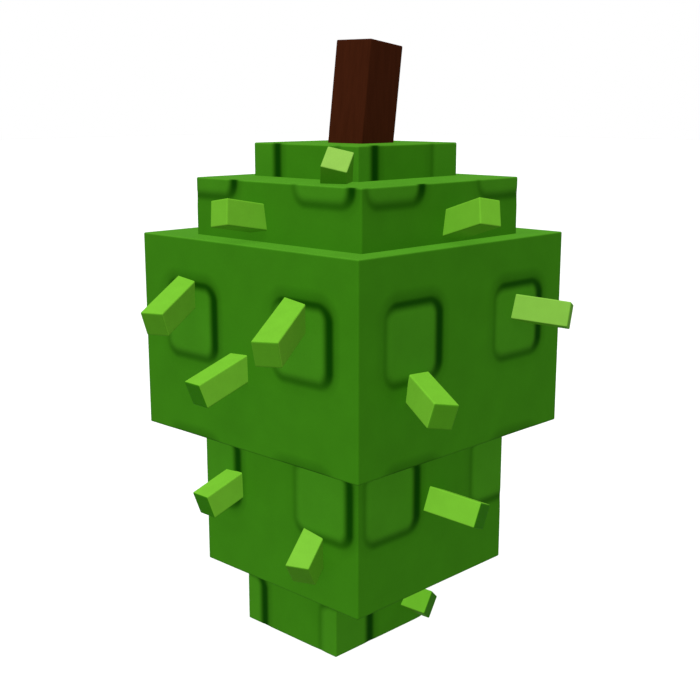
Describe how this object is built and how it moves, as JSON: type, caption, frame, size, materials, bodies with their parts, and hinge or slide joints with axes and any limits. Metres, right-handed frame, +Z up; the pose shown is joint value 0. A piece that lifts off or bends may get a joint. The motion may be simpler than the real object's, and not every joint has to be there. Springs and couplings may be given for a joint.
{
  "type": "blocky soursop fruit",
  "caption": "Soursop in a plain blocky style, with stacked square tiers, shallow rounded-square relief, square spines and a leaning square stem.",
  "frame": {"origin": "centre of the foot's flat underside", "axes": "+Z up through the fruit towards the stem, -Y and +X out of the two walls that are seen best"},
  "size_m": [0.1667, 0.1759, 0.2398],
  "materials": {
    "green_skin": "satin",
    "brown_stem": "matte"
  },
  "bodies": {
    "root": {"fruit": "green_skin", "stem": "brown_stem"}
  },
  "joints": []
}
